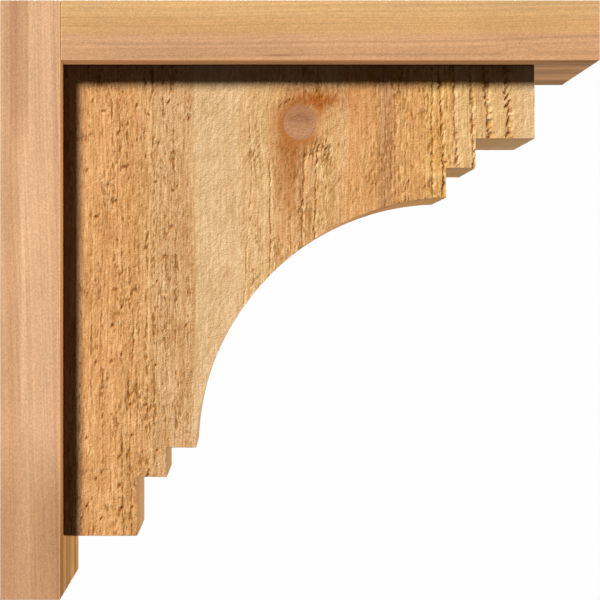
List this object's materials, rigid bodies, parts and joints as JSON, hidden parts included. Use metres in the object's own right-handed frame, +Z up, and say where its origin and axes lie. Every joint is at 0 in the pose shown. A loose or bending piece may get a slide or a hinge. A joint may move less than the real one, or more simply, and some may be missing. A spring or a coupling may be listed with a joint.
{
  "type": "wooden corbel bracket",
  "caption": "Timber wall bracket: a planed back post and top board held square by a thick rough-sawn brace with a stepped, cove-cut edge, carrying an eave, beam or shelf.",
  "frame": {"origin": "middle of the wall face of the back post, where the bracket is fastened", "axes": "+X straight out from the wall, +Y across the width of the boards, +Z up"},
  "size_m": [0.381, 0.1396, 0.381],
  "materials": {
    "planed_cedar": "planed, unfinished red cedar with fine straight grain",
    "sawn_cedar": "rough-sawn, unfinished red cedar with torn grain and one knot"
  },
  "bodies": {
    "root": {"back_post": "planed_cedar", "top_board": "planed_cedar", "brace": "sawn_cedar"}
  },
  "joints": []
}
